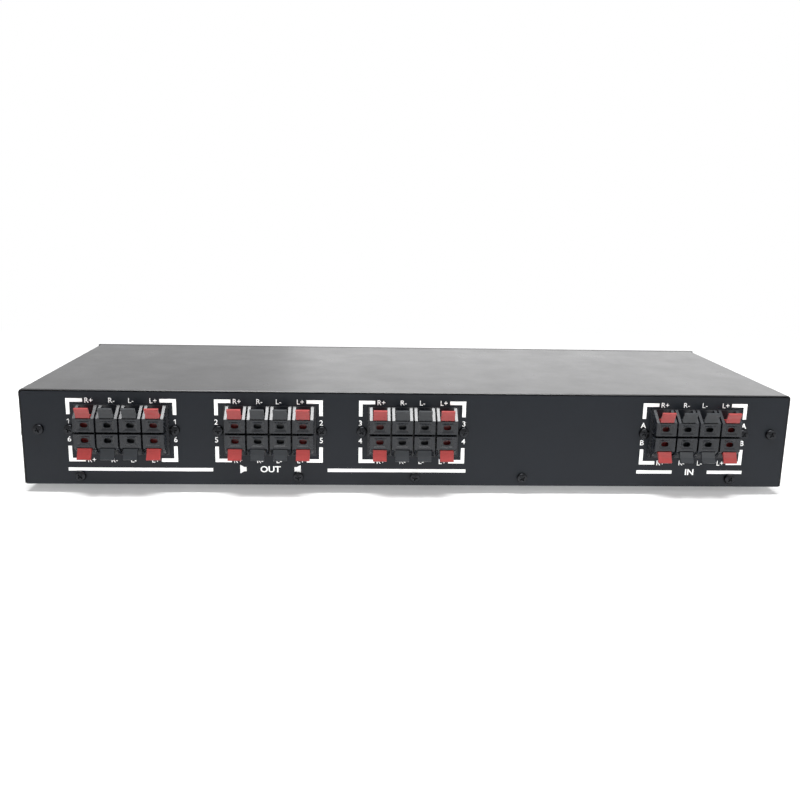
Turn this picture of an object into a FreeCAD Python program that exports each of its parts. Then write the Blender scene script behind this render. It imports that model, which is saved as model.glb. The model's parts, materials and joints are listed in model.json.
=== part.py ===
import FreeCAD, Part
import os
import re
import Sketcher

# Speaker selector switch: a flat steel box that shares one amplifier among six pairs of speakers.
# Millimetres. X runs along the rear panel, +Y from the rear panel to the front, +Z up.
# The origin is on the table, under the centre of the whole object, lever tips and buttons included.

SIZES = {
    # box
    "case_wide": 430, "case_deep": 153, "case_tall": 54, "cover_sheet": 1.0, "bend_radius": 2.2,
    "tray_sheet": 1.2, "panel_sheet": 1.5, "sheet_gap": 0.15, "side_flange_tall": 36,
    "rear_lip_tall": 10, "ear_wide": 15, "ear_tall": 38, "front_flange_tall": 50,
    "front_thick": 4, "front_round": 1.2,
    # stick-on feet
    "foot_tall": 5, "foot_radius": 9, "foot_taper": 1, "foot_inset_x": 40, "foot_inset_y": 26,
    # screws
    "screw_radius": 1.5, "head_radius": 2.9, "head_tall": 1.9, "head_taper": 0.75,
    "screw_long": 6, "hole_gap": 0.1, "pilot_deep": 3, "pilot_spare": 0.3,
    "front_screw_inset": 20, "front_screw_margin": 12,
    # rear panel layout: each block's centre, its height, and the screws
    "left_centre": -160, "middle_centre": -78.9, "right_centre": 0.6, "input_centre": 160.6,
    "block_rise": 31.4, "end_screw_inset": 9.7, "low_screw_rise": 4.8, "low_screw_inset": 31,
    "low_screw_inner": 63.5, "low_screw_middle": 2.3, "side_screw_rise": 28, "side_screw_inset": 6.5,
    # terminal block, seen from the side: out is away from the panel, up is away from the block's middle
    "window_margin": 1.4, "window_tall": 29, "window_gap": 0.2, "plinth_proud": 0.3,
    "screw_margin": 2.9, "flange_margin": 5, "flange_lap": 1, "flange_thick": 2,
    "boss_radius": 3.4, "boss_tall": 3,
    "slot_wide": 8.2, "cheek_thick": 1.6, "column_gap": 1, "row_gap": 1.2,
    "cell_out": 8, "face_top": 8.0, "cheek_foot": 14.2, "cheek_front": 8.2,
    "cavity_floor": 1.6, "cavity_roof": 7.6, "front_wall": 2.4,
    "funnel_wide": 7.7, "funnel_low": 1.3, "funnel_high": 7.0, "funnel_deep": 0.9,
    "hole_wide": 4.2, "hole_tall": 2.7, "hole_rise": 4.3, "funnel_lip": 0.35,
    # lever, seen the same way
    "hinge_up": 6.6, "pin_radius": 0.75, "pin_gap": 0.08, "pin_long": 0.9, "wall_gap": 0.25,
    "lever_gap": 0.35, "arm_back": 2.4, "arm_thick": 1.1, "arm_end": 2.2,
    "neck_thick": 1.3, "neck_back": 0.45,
    "tab_rise": 8.5, "tab_reach": 2.8, "tab_tip_up": 14.6, "tab_thick": 1.2, "tab_dish": 0.3,
    # contact springs and their boards
    "leaf_thick": 0.4, "leaf_wide": 5, "leaf_gap": 0.3, "leaf_top": 6.4, "tail_back": 9,
    "board_thick": 1.6, "block_board_margin": 0.3, "block_board_tall": 24,
    # front switches
    "button_pitch": 36, "button_rise": 27, "button_wide": 20, "button_tall": 9, "button_proud": 5,
    "button_gap": 0.3, "cap_back": 3, "stem": 4, "stem_long": 16, "stem_gap": 0.3,
    "switch_wide": 14, "switch_tall": 16, "switch_deep": 22, "switch_back": 8,
    "switch_board_deep": 60, "switch_board_wide": 300, "standoff_tall": 12.8,
    "standoff_radius": 3, "standoff_x": 140, "standoff_y": 24,
    # protection resistors
    "resistor_long": 40, "resistor_deep": 10, "resistor_tall": 9, "resistor_x": 60,
}

BUTTONS = ("protection", "1", "2", "3", "4", "5", "6", "input")
COLUMNS = (("right", "plus"), ("right", "minus"), ("left", "minus"), ("left", "plus"))
BLOCKS = (
    ("output_block_left", "left_centre", ("1", "6")),
    ("output_block_middle", "middle_centre", ("2", "5")),
    ("output_block_right", "right_centre", ("3", "4")),
    ("input_block", "input_centre", ("a", "b")),
)

# Places and sizes that many pieces share, as formulas of the sizes.
TIP_OUT = "(cell_out + tab_reach)"
HINGE_OUT = "(cell_out - front_wall - wall_gap - pin_radius)"
ARM_OUT = "(" + HINGE_OUT + " - arm_back)"
CELL_WIDE = "(slot_wide + 2 * cheek_thick)"
CELL_PITCH = "(" + CELL_WIDE + " + column_gap)"
WINDOW_WIDE = "(3 * " + CELL_PITCH + " + " + CELL_WIDE + " + 2 * window_margin)"
BLOCK_SCREW = "(" + WINDOW_WIDE + " / 2 + screw_margin)"
REAR = "(" + TIP_OUT + " - case_deep - button_proud) / 2"
FRONT = "(" + TIP_OUT + " + case_deep - button_proud) / 2"
TRAY_REAR = "(" + REAR + " + panel_sheet)"
TRAY_FRONT = "(" + FRONT + " - front_thick)"
TRAY_HALF = "(case_wide / 2 - cover_sheet - sheet_gap)"
BLOCK_LEVEL = "(foot_tall + block_rise)"
BUTTON_LEVEL = "(foot_tall + button_rise)"
BOARD_LEVEL = "(foot_tall + tray_sheet + standoff_tall)"
FLANGE_BACK = "(panel_sheet + flange_thick)"

doc = FreeCAD.newDocument("speaker_selector")
sheet = doc.addObject("Spreadsheet::Sheet", "Sizes")
for row, (alias, size) in enumerate(SIZES.items(), start=1):
    sheet.set("A%d" % row, alias)
    sheet.set("B%d" % row, str(size))
    sheet.setAlias("B%d" % row, alias)
doc.recompute()
WORD = re.compile(r"\b(" + "|".join(SIZES) + r")\b")
nodes = []


def bound(formula):
    """The formula with each size read from the sheet."""
    return WORD.sub(r"Sizes.\1", formula)


def value(formula):
    """The formula's number at the present sizes."""
    return float(sheet.evalExpression(bound(formula)))


def keep(piece, name):
    """Names a finished sub-part; the name is also its file's name."""
    piece.Label = name
    nodes.append(piece)
    return piece


def place(piece, x="0", y="0", z="0"):
    """Puts a piece at a spot given as three formulas."""
    for axis, formula in zip("xyz", (x, y, z)):
        piece.setExpression("Placement.Base." + axis, bound(formula))
    return piece


# Bodies drawn as sketches

def origin_part(body, role):
    return [item for item in body.Origin.OriginFeatures if item.Role == role][0]


def new_sketch(body, name, role, lift):
    sketch = body.newObject("Sketcher::SketchObject", name)
    sketch.AttachmentSupport = [(origin_part(body, role), "")]
    sketch.MapMode = "FlatFace"
    sketch.setExpression("AttachmentOffset.Base.z", bound(lift))
    return sketch


def tie(sketch, geometry, end, across, along):
    """Ties one point of a sketch to two formulas."""
    for kind, formula in (("DistanceX", across), ("DistanceY", along)):
        number = sketch.addConstraint(Sketcher.Constraint(kind, -1, 1, geometry, end, value(formula)))
        sketch.setExpression("Constraints[%d]" % number, bound(formula))


def outlines(body, name, role, loops, lift="0"):
    """Closed outlines with straight sides, each a list of corners written as pairs of formulas."""
    sketch = new_sketch(body, name, role, lift)
    for corners in loops:
        spots = [FreeCAD.Vector(value(a), value(b), 0) for a, b in corners]
        first = sketch.GeometryCount
        count = len(spots)
        for i in range(count):
            sketch.addGeometry(Part.LineSegment(spots[i], spots[(i + 1) % count]), False)
        for i in range(count):
            after = first + (i + 1) % count
            sketch.addConstraint(Sketcher.Constraint("Coincident", first + i, 2, after, 1))
            tie(sketch, first + i, 1, *corners[i])
    return sketch


def rectangle(across, along, wide, tall):
    """Corners of a rectangle about a centre, as formulas."""
    left, right = "%s - (%s) / 2" % (across, wide), "%s + (%s) / 2" % (across, wide)
    low, high = "%s - (%s) / 2" % (along, tall), "%s + (%s) / 2" % (along, tall)
    return [(left, low), (right, low), (right, high), (left, high)]


def circles(body, name, role, spots, radius, lift="0"):
    """Circles of one radius about spots written as pairs of formulas."""
    sketch = new_sketch(body, name, role, lift)
    up = FreeCAD.Vector(0, 0, 1)
    for across, along in spots:
        centre = FreeCAD.Vector(value(across), value(along), 0)
        number = sketch.addGeometry(Part.Circle(centre, up, value(radius)), False)
        tie(sketch, number, 3, across, along)
        limit = sketch.addConstraint(Sketcher.Constraint("Radius", number, value(radius)))
        sketch.setExpression("Constraints[%d]" % limit, bound(radius))
    return sketch


def obround(body, name, across, along, wide, tall, lift):
    """A hole outline with two straight sides and two round ends."""
    sketch = new_sketch(body, name, "XZ_Plane", lift)
    x, y, radius = value(across), value(along), value(tall) / 2
    reach = (value(wide) - value(tall)) / 2
    up = FreeCAD.Vector(0, 0, 1)
    quarter = 1.5707963267948966
    right = Part.Circle(FreeCAD.Vector(x + reach, y, 0), up, radius)
    left = Part.Circle(FreeCAD.Vector(x - reach, y, 0), up, radius)
    high, low = y + radius, y - radius
    sketch.addGeometry(Part.ArcOfCircle(right, -quarter, quarter), False)
    sketch.addGeometry(Part.LineSegment(FreeCAD.Vector(x + reach, high, 0), FreeCAD.Vector(x - reach, high, 0)))
    sketch.addGeometry(Part.ArcOfCircle(left, quarter, 3 * quarter), False)
    sketch.addGeometry(Part.LineSegment(FreeCAD.Vector(x - reach, low, 0), FreeCAD.Vector(x + reach, low, 0)))
    for i in range(4):
        sketch.addConstraint(Sketcher.Constraint("Tangent", i, 2, (i + 1) % 4, 1))
    sketch.addConstraint(Sketcher.Constraint("Equal", 0, 2))
    half = "((%s) - (%s)) / 2" % (wide, tall)
    tie(sketch, 0, 3, "%s + %s" % (across, half), along)
    tie(sketch, 2, 3, "%s - %s" % (across, half), along)
    limit = sketch.addConstraint(Sketcher.Constraint("Radius", 0, radius))
    sketch.setExpression("Constraints[%d]" % limit, bound(tall + " / 2"))
    return sketch


def extrude(body, kind, name, sketch, length, both=False, reverse=False):
    """A pad or a pocket of a sketch; both means half the length to each side."""
    feature = body.newObject("PartDesign::" + kind, name)
    feature.Profile = sketch
    feature.SideType = "Symmetric" if both else "One side"
    feature.Reversed = reverse
    feature.setExpression("Length", bound(length))
    return feature


def pattern(body, name, originals, length, count):
    """Repeats features along X."""
    doc.recompute()
    feature = body.newObject("PartDesign::LinearPattern", name)
    feature.Originals = originals
    feature.Direction = (origin_part(body, "X_Axis"), [""])
    feature.setExpression("Length", bound(length))
    feature.Occurrences = count
    body.Tip = feature
    return feature


def round_edges(body, name, base, radius, wanted):
    """Rounds the edges of a body that pass a test of their two ends."""
    doc.recompute()
    chosen = []
    for number, edge in enumerate(base.Shape.Edges, start=1):
        ends = [corner.Point for corner in edge.Vertexes]
        if len(ends) == 2 and wanted(*ends):
            chosen.append("Edge%d" % number)
    feature = body.newObject("PartDesign::Fillet", name)
    feature.Base = (base, chosen)
    feature.setExpression("Radius", bound(radius))
    return feature


# Simple solids and groups of them

def box(name, wide, deep, tall, x, y, z):
    """A box about a spot in x and y, standing on z."""
    piece = doc.addObject("Part::Box", name)
    for side, formula in (("Length", wide), ("Width", deep), ("Height", tall)):
        piece.setExpression(side, bound(formula))
    return place(piece, "%s - (%s) / 2" % (x, wide), "%s - (%s) / 2" % (y, deep), z)


def turn(piece, axis, degrees):
    piece.Placement = FreeCAD.Placement(piece.Placement.Base, FreeCAD.Rotation(FreeCAD.Vector(*axis), degrees))


def cylinder(name, radius, tall, x, y, z, axis=None, degrees=0):
    piece = doc.addObject("Part::Cylinder", name)
    piece.setExpression("Radius", bound(radius))
    piece.setExpression("Height", bound(tall))
    if axis:
        turn(piece, axis, degrees)
    return place(piece, x, y, z)


def hexagon(name, radius, tall, x, y, z):
    """A six-sided bar; the radius reaches its corners."""
    piece = doc.addObject("Part::Prism", name)
    piece.Polygon = 6
    piece.setExpression("Circumradius", bound(radius))
    piece.setExpression("Height", bound(tall))
    return place(piece, x, y, z)


def cone(name, foot, top, tall, x, y, z, axis=None, degrees=0):
    piece = doc.addObject("Part::Cone", name)
    piece.setExpression("Radius1", bound(foot))
    piece.setExpression("Radius2", bound(top))
    piece.setExpression("Height", bound(tall))
    if axis:
        turn(piece, axis, degrees)
    return place(piece, x, y, z)


def fused(name, pieces):
    piece = doc.addObject("Part::MultiFuse", name)
    piece.Shapes = pieces
    return piece


def cut(name, base, tool):
    piece = doc.addObject("Part::Cut", name)
    piece.Base = base
    piece.Tool = tool
    return piece


def group(name, pieces):
    piece = doc.addObject("Part::Compound", name)
    piece.Links = pieces
    return piece


def screw(name, x, y, z, axis=(1, 0, 0), degrees=0, long="screw_long"):
    """A pan-head screw. Its head stands off the spot along the turned Z axis, its shank runs back."""
    away = FreeCAD.Rotation(FreeCAD.Vector(*axis), degrees).multVec(FreeCAD.Vector(0, 0, 1))
    start = ["%s - %d * (%s)" % (spot, round(part), long) for spot, part in zip((x, y, z), away)]
    head = cone(name + "_head", "head_radius", "head_radius * head_taper", "head_tall", x, y, z, axis, degrees)
    shank = cylinder(name + "_shank", "screw_radius", long, *start, axis, degrees)
    return fused(name, [head, shank])


# Sheet-metal case

LOW_SCREWS = [(x, "low_screw_rise") for x in
              ("-case_wide / 2 + low_screw_inset", "-low_screw_inner", "low_screw_middle", "low_screw_inner",
               "case_wide / 2 - low_screw_inset")]
END_SCREWS = [(x, "block_rise") for x in
              ("-case_wide / 2 + end_screw_inset", "case_wide / 2 - end_screw_inset")]
SIDE_SCREWS = [(REAR + " + side_screw_inset", "side_screw_rise"),
               (TRAY_FRONT + " - side_screw_inset", "side_screw_rise")]
FRONT_SCREWS = [(x, z) for x in ("-case_wide / 2 + front_screw_inset", "case_wide / 2 - front_screw_inset")
                for z in ("front_screw_margin", "case_tall - front_screw_margin")]
FOOT_SPOTS = [(x, y) for x in ("-case_wide / 2 + foot_inset_x", "case_wide / 2 - foot_inset_x")
              for y in (REAR + " + foot_inset_y", FRONT + " - foot_inset_y")]
FREE_HOLE = "screw_radius + hole_gap"
MORE = "case_wide * 1.1"


def channel(body, name, half, tall, sheet_name, start, end):
    """A sheet bent into a channel: the outline of its section, drawn across the box and padded along it."""
    inner, inner_tall = "(%s - %s)" % (half, sheet_name), "(%s - %s)" % (tall, sheet_name)
    corners = [("-" + half, "0"), ("-" + half, tall), (half, tall), (half, "0"), (inner, "0"),
               (inner, inner_tall), ("-" + inner, inner_tall), ("-" + inner, "0")]
    profile = outlines(body, name + "_section", "XZ_Plane", [corners], "-" + end)
    return extrude(body, "Pad", name, profile, "%s - %s" % (end, start))


def make_cover():
    """Top and both sides, one sheet bent twice."""
    body = doc.addObject("PartDesign::Body", "top_cover")
    half = "(case_wide / 2)"
    folded = channel(body, "cover_fold", half, "case_tall", "cover_sheet", "(" + REAR + ")", TRAY_FRONT)
    top, wide, thin = value("case_tall"), value("case_wide / 2"), value("cover_sheet")

    def bend_at(side, level):
        return lambda a, b: all(abs(abs(p.x) - side) < 1e-6 and abs(p.z - level) < 1e-6
                                for p in (a, b)) and abs(a.x - b.x) < 1e-6

    outer = round_edges(body, "outer_bend", folded, "bend_radius", bend_at(wide, top))
    round_edges(body, "inner_bend", outer, "bend_radius - cover_sheet", bend_at(wide - thin, top - thin))
    holes = circles(body, "side_holes", "YZ_Plane", SIDE_SCREWS, FREE_HOLE)
    extrude(body, "Pocket", "side_hole_cuts", holes, MORE, both=True)
    keep(place(body, z="foot_tall"), "top_cover")


def make_tray():
    """Bottom, two side flanges, a rear lip with an ear at each end, and a front flange."""
    body = doc.addObject("PartDesign::Body", "base_tray")
    inner = "(" + TRAY_HALF + " - tray_sheet)"
    corners = [("-" + TRAY_HALF, "0"), (TRAY_HALF, "0"), (TRAY_HALF, "side_flange_tall"),
               (inner, "side_flange_tall"), (inner, "tray_sheet"), ("-" + inner, "tray_sheet"),
               ("-" + inner, "side_flange_tall"), ("-" + TRAY_HALF, "side_flange_tall")]
    section = outlines(body, "tray_section", "XZ_Plane", [corners], "-" + TRAY_FRONT)
    extrude(body, "Pad", "tray", section, "%s - %s" % (TRAY_FRONT, TRAY_REAR))
    ear = "(" + TRAY_HALF + " - ear_wide)"
    lip = [("-" + TRAY_HALF, "0"), (TRAY_HALF, "0"), (TRAY_HALF, "ear_tall"), (ear, "ear_tall"),
           (ear, "rear_lip_tall"), ("-" + ear, "rear_lip_tall"), ("-" + ear, "ear_tall"),
           ("-" + TRAY_HALF, "ear_tall")]
    rear = outlines(body, "rear_lip_outline", "XZ_Plane", [lip], "-%s - tray_sheet" % TRAY_REAR)
    extrude(body, "Pad", "rear_lip", rear, "tray_sheet")
    front = rectangle("0", "front_flange_tall / 2", "2 * " + TRAY_HALF, "front_flange_tall")
    face = outlines(body, "front_flange_outline", "XZ_Plane", [front], "-" + TRAY_FRONT)
    extrude(body, "Pad", "front_flange", face, "tray_sheet")
    opening = rectangle("-3.5 * button_pitch", "button_rise", "button_wide + 2 * button_gap",
                        "button_tall + 2 * button_gap")
    window = outlines(body, "stem_window", "XZ_Plane", [opening], "-" + TRAY_FRONT + " + 2 * tray_sheet")
    first = extrude(body, "Pocket", "stem_window_cut", window, "4 * tray_sheet")
    pattern(body, "stem_windows", [first], "7 * button_pitch", len(BUTTONS))
    rear_holes = circles(body, "lip_holes", "XZ_Plane", LOW_SCREWS + END_SCREWS, FREE_HOLE,
                         "-%s + tray_sheet" % TRAY_REAR)
    extrude(body, "Pocket", "lip_hole_cuts", rear_holes, "3 * tray_sheet")
    front_holes = circles(body, "front_holes", "XZ_Plane", FRONT_SCREWS, FREE_HOLE,
                          "-" + TRAY_FRONT + " + 2 * tray_sheet")
    extrude(body, "Pocket", "front_hole_cuts", front_holes, "4 * tray_sheet")
    side_holes = circles(body, "side_holes", "YZ_Plane", SIDE_SCREWS, FREE_HOLE)
    extrude(body, "Pocket", "side_hole_cuts", side_holes, MORE, both=True)
    keep(place(body, z="foot_tall"), "base_tray")


def make_rear_panel():
    """A flat plate set flush inside the cover, with a window for each terminal block."""
    body = doc.addObject("PartDesign::Body", "rear_panel")
    wide = "2 * " + TRAY_HALF
    tall = "(case_tall - cover_sheet - sheet_gap)"
    plate = outlines(body, "plate_outline", "XZ_Plane", [rectangle("0", tall + " / 2", wide, tall)],
                     "-" + TRAY_REAR)
    solid = extrude(body, "Pad", "plate", plate, "panel_sheet")
    top = value(tall)
    round_edges(body, "top_corners", solid, "bend_radius - cover_sheet",
                lambda a, b: abs(a.z - top) < 1e-6 and abs(b.z - top) < 1e-6 and abs(a.x - b.x) < 1e-6)
    windows = [rectangle(spot, "block_rise", WINDOW_WIDE, "window_tall") for _, spot, _ in BLOCKS]
    drawn = outlines(body, "windows", "XZ_Plane", windows, "-(" + REAR + ") + panel_sheet")
    extrude(body, "Pocket", "window_cuts", drawn, "3 * panel_sheet")
    spots = LOW_SCREWS + END_SCREWS
    spots += [("%s %s %s" % (spot, side, BLOCK_SCREW), "block_rise") for _, spot, _ in BLOCKS for side in "+-"]
    holes = circles(body, "screw_holes", "XZ_Plane", spots, FREE_HOLE, "-(" + REAR + ") + panel_sheet")
    extrude(body, "Pocket", "screw_hole_cuts", holes, "3 * panel_sheet")
    keep(place(body, z="foot_tall"), "rear_panel")


def make_front_panel():
    """A thicker plate over the front flange, with rounded front edges and eight button windows."""
    body = doc.addObject("PartDesign::Body", "front_panel")
    plate = outlines(body, "plate_outline", "XZ_Plane",
                     [rectangle("0", "case_tall / 2", "case_wide", "case_tall")], "-(" + FRONT + ")")
    solid = extrude(body, "Pad", "plate", plate, "front_thick")
    face = value(FRONT)
    round_edges(body, "front_edges", solid, "front_round",
                lambda a, b: abs(a.y - face) < 1e-6 and abs(b.y - face) < 1e-6)
    opening = rectangle("-3.5 * button_pitch", "button_rise", "button_wide + 2 * button_gap",
                        "button_tall + 2 * button_gap")
    window = outlines(body, "button_window", "XZ_Plane", [opening], "-" + TRAY_FRONT + " + front_thick")
    first = extrude(body, "Pocket", "button_window_cut", window, "3 * front_thick")
    pattern(body, "button_windows", [first], "7 * button_pitch", len(BUTTONS))
    pilots = circles(body, "pilots", "XZ_Plane", FRONT_SCREWS, FREE_HOLE, "-" + TRAY_FRONT)
    extrude(body, "Pocket", "pilot_cuts", pilots, "pilot_deep")
    keep(place(body, z="foot_tall"), "front_panel")


# Terminal blocks

def make_block(name, centre):
    """One moulding: a flange behind the panel, a plinth in the window and eight clamp cells.

    The upper half is drawn first: one cell, repeated along the row, then the whole is mirrored.
    """
    body = doc.addObject("PartDesign::Body", name)

    def upper_half(side, top):
        return [("-" + side, "0"), (side, "0"), (side, top), ("-" + side, top)]

    flange = upper_half("(" + BLOCK_SCREW + " + flange_margin)", "window_tall / 2 + flange_lap")
    extrude(body, "Pad", "flange", outlines(body, "flange_outline", "XZ_Plane", [flange], "-" + FLANGE_BACK),
            "flange_thick")
    plinth = upper_half("(" + WINDOW_WIDE + " / 2 - window_gap)", "window_tall / 2 - window_gap")
    extrude(body, "Pad", "plinth", outlines(body, "plinth_outline", "XZ_Plane", [plinth], "-" + FLANGE_BACK),
            FLANGE_BACK + " + plinth_proud")
    first = "-1.5 * " + CELL_PITCH
    profile = [("0", "row_gap / 2"), ("-cell_out", "row_gap / 2"), ("-cell_out", "cheek_front"),
               ("0", "cheek_foot")]
    cell = extrude(body, "Pad", "cell", outlines(body, "cell_profile", "YZ_Plane", [profile], first),
                   CELL_WIDE, both=True)
    back, front = FLANGE_BACK + " + 1", "-(cell_out - front_wall)"
    hollow = [(back, "cavity_floor"), (front, "cavity_floor"), (front, "face_top"),
              ("-cell_out - 1", "face_top"), ("-cell_out - 1", "cheek_foot + 1"),
              ("-plinth_proud", "cheek_foot + 1"), ("-plinth_proud", "cavity_roof"), (back, "cavity_roof")]
    slot = extrude(body, "Pocket", "lever_slot", outlines(body, "slot_profile", "YZ_Plane", [hollow], first),
                   "slot_wide", both=True)
    reach = "(pin_radius + pin_gap)"
    groove_end = "-" + HINGE_OUT + " - " + reach
    groove = [(back, "hinge_up - " + reach), (groove_end, "hinge_up - " + reach),
              (groove_end, "hinge_up + " + reach), (back, "hinge_up + " + reach)]
    bearing = extrude(body, "Pocket", "pin_groove", outlines(body, "groove_profile", "YZ_Plane", [groove], first),
                      "slot_wide + 2 * pin_long", both=True)
    middle = "(funnel_high + funnel_low) / 2"
    mouth = outlines(body, "funnel_mouth", "XZ_Plane",
                     [rectangle(first, middle, "funnel_wide", "funnel_high - funnel_low")], "cell_out")
    throat = outlines(body, "funnel_throat", "XZ_Plane",
                      [rectangle(first, "hole_rise", "hole_wide + 2 * funnel_lip", "hole_tall + 2 * funnel_lip")],
                      "cell_out - funnel_deep")
    funnel = body.newObject("PartDesign::SubtractiveLoft", "funnel")
    funnel.Profile = mouth
    funnel.Sections = [throat]
    entry = obround(body, "wire_hole_outline", first, "hole_rise", "hole_wide", "hole_tall", "cell_out")
    hole = extrude(body, "Pocket", "wire_hole", entry, "front_wall + 0.5")
    pattern(body, "row", [cell, slot, bearing, funnel, hole], "3 * " + CELL_PITCH, len(COLUMNS))
    doc.recompute()
    both = body.newObject("PartDesign::Mirrored", "both_rows")
    both.TransformMode = "Whole shape"
    both.MirrorPlane = (origin_part(body, "XY_Plane"), [""])
    body.Tip = both
    ends = [("-" + BLOCK_SCREW, "0"), (BLOCK_SCREW, "0")]
    bosses = circles(body, "bosses_outline", "XZ_Plane", ends, "boss_radius", "-%s - boss_tall" % FLANGE_BACK)
    extrude(body, "Pad", "bosses", bosses, "boss_tall")
    pilots = circles(body, "pilots_outline", "XZ_Plane", ends, FREE_HOLE)
    extrude(body, "Pocket", "pilots", pilots, FLANGE_BACK + " + boss_tall + 1")
    keep(place(body, centre, REAR, BLOCK_LEVEL), name)


def make_lever(name, centre, column, lower):
    """A rocking lever: an arm behind the wire hole, a neck over the front wall and a dished thumb tab.

    Drawn about its hinge, with two short pins that run in grooves of the cell's side walls.
    """
    body = doc.addObject("PartDesign::Body", name)
    rise = "(tab_tip_up - tab_rise)"
    slope = "sqrt(%s^2 + tab_reach^2)" % rise
    lift = "(tab_thick * tab_reach / %s)" % slope
    inward = "(tab_thick * %s / %s)" % (rise, slope)
    arm_front = "(" + ARM_OUT + " + arm_thick)"
    neck_front = "(" + HINGE_OUT + " + pin_radius)"
    neck_top = "(tab_rise + neck_thick)"
    foot_back = "(cell_out - %s / %s * tab_thick)" % (slope, rise)
    dish = ("cell_out + tab_reach / 2 - tab_dish * %s / %s" % (rise, slope),
            "(tab_rise + tab_tip_up - %s) / 2 + tab_dish * tab_reach / %s" % (lift, slope))
    corners = [
        (ARM_OUT, "arm_end"), (arm_front, "arm_end"), (arm_front, "hinge_up - pin_radius"),
        (neck_front, "hinge_up"), (neck_front, "tab_rise"), ("cell_out", "tab_rise"), dish,
        (TIP_OUT, "tab_tip_up - " + lift), (TIP_OUT + " - " + inward, "tab_tip_up"),
        ("%s + neck_thick * tab_reach / %s" % (foot_back, rise), neck_top),
        (HINGE_OUT + " - neck_back", neck_top), (ARM_OUT, "hinge_up + pin_radius"),
    ]
    loop = [("%s - (%s)" % (HINGE_OUT, out), "%s - hinge_up" % up) for out, up in corners]
    side = outlines(body, name + "_side", "YZ_Plane", [loop])
    extrude(body, "Pad", name + "_blade", side, "slot_wide - 2 * lever_gap", both=True)
    pin = circles(body, name + "_pin_outline", "YZ_Plane", [("0", "0")], "pin_radius")
    extrude(body, "Pad", name + "_pins", pin, "slot_wide + 2 * (pin_long - pin_gap)", both=True)
    sign = "-" if lower else "+"
    if lower:
        turn(body, (0, 1, 0), 180)
    across = "%s + (%s) * %s" % (centre, column - 1.5, CELL_PITCH)
    keep(place(body, across, REAR + " - " + HINGE_OUT, "%s %s hinge_up" % (BLOCK_LEVEL, sign)), name)


def make_contacts():
    """A bent spring strip in each cell, its tail soldered to the small board behind the block."""
    strips = []
    out = "(" + ARM_OUT + " - leaf_gap)"
    for name, centre, rows in BLOCKS:
        for column in range(len(COLUMNS)):
            across = "%s + (%s) * %s" % (centre, column - 1.5, CELL_PITCH)
            for row, sign in zip(rows, (1, -1)):
                label = "strip_%s_%d" % (row, column)
                low = "cavity_floor" if sign > 0 else "-leaf_top"
                leaf = box(label + "_leaf", "leaf_wide", "leaf_thick", "leaf_top - cavity_floor", across,
                           "%s - %s + leaf_thick / 2" % (REAR, out), "%s + (%s)" % (BLOCK_LEVEL, low))
                low = "cavity_floor" if sign > 0 else "-cavity_floor - leaf_thick"
                tail = box(label + "_tail", "leaf_wide", "%s + tail_back" % out, "leaf_thick", across,
                           "%s + (tail_back - %s) / 2" % (REAR, out), "%s + (%s)" % (BLOCK_LEVEL, low))
                strips.append(fused(label, [leaf, tail]))
    keep(group("contact_springs", strips), "contact_springs")
    boards = []
    for name, centre, rows in BLOCKS:
        boards.append(box(name + "_board", WINDOW_WIDE + " + 2 * block_board_margin", "board_thick",
                          "block_board_tall", centre, REAR + " + tail_back + board_thick / 2",
                          BLOCK_LEVEL + " - block_board_tall / 2"))
    keep(group("terminal_boards", boards), "terminal_boards")


# Front switches

def make_switches():
    """A board on four standoffs carries eight latching switches and two protection resistors."""
    centre = "(%s - tray_sheet - switch_back - switch_deep / 2)" % TRAY_FRONT
    board_y = "(%s + switch_deep / 2 - switch_board_deep / 2)" % centre
    board = box("board_blank", "switch_board_wide", "switch_board_deep", "board_thick", "0", board_y, BOARD_LEVEL)
    spots = [("%s standoff_x" % sx, "%s %s standoff_y" % (board_y, sy)) for sx in "+-" for sy in "+-"]
    spots = [("0 " + x, y) for x, y in spots]
    drills = [cylinder("board_drill_%d" % i, FREE_HOLE, "3 * board_thick", x, y, BOARD_LEVEL + " - board_thick")
              for i, (x, y) in enumerate(spots)]
    keep(cut("switch_board", board, group("board_drills", drills)), "switch_board")
    posts = []
    for i, (x, y) in enumerate(spots):
        post = hexagon("post_%d" % i, "standoff_radius", "standoff_tall", x, y, "foot_tall + tray_sheet")
        bore = cylinder("post_bore_%d" % i, FREE_HOLE, "screw_long + 1", x, y, BOARD_LEVEL + " - screw_long")
        posts.append(cut("standoff_%d" % i, post, bore))
    keep(group("board_standoffs", posts), "board_standoffs")
    fixings = [screw("board_screw_%d" % i, x, y, BOARD_LEVEL + " + board_thick")
               for i, (x, y) in enumerate(spots)]
    keep(group("board_screws", fixings), "board_screws")
    cases = []
    top = "(%s + board_thick)" % BOARD_LEVEL
    for i, button in enumerate(BUTTONS):
        across = "(%s) * button_pitch" % (i - 3.5)
        case = box("switch_case_" + button, "switch_wide", "switch_deep", "switch_tall", across, centre, top)
        bore = box("switch_bore_" + button, "stem + 2 * stem_gap", "stem_long", "stem + 2 * stem_gap", across,
                   "%s + switch_deep / 2 - stem_long / 2 + 1" % centre, BUTTON_LEVEL + " - stem / 2 - stem_gap")
        cases.append(cut("switch_" + button, case, bore))
    keep(group("switch_bodies", cases), "switch_bodies")
    parts = [box("resistor_%d" % i, "resistor_long", "resistor_deep", "resistor_tall",
                 "%s resistor_x" % side, "%s - switch_board_deep / 4" % board_y, top)
             for i, side in enumerate(("0 -", "0 +"))]
    keep(group("protection_resistors", parts), "protection_resistors")


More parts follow.
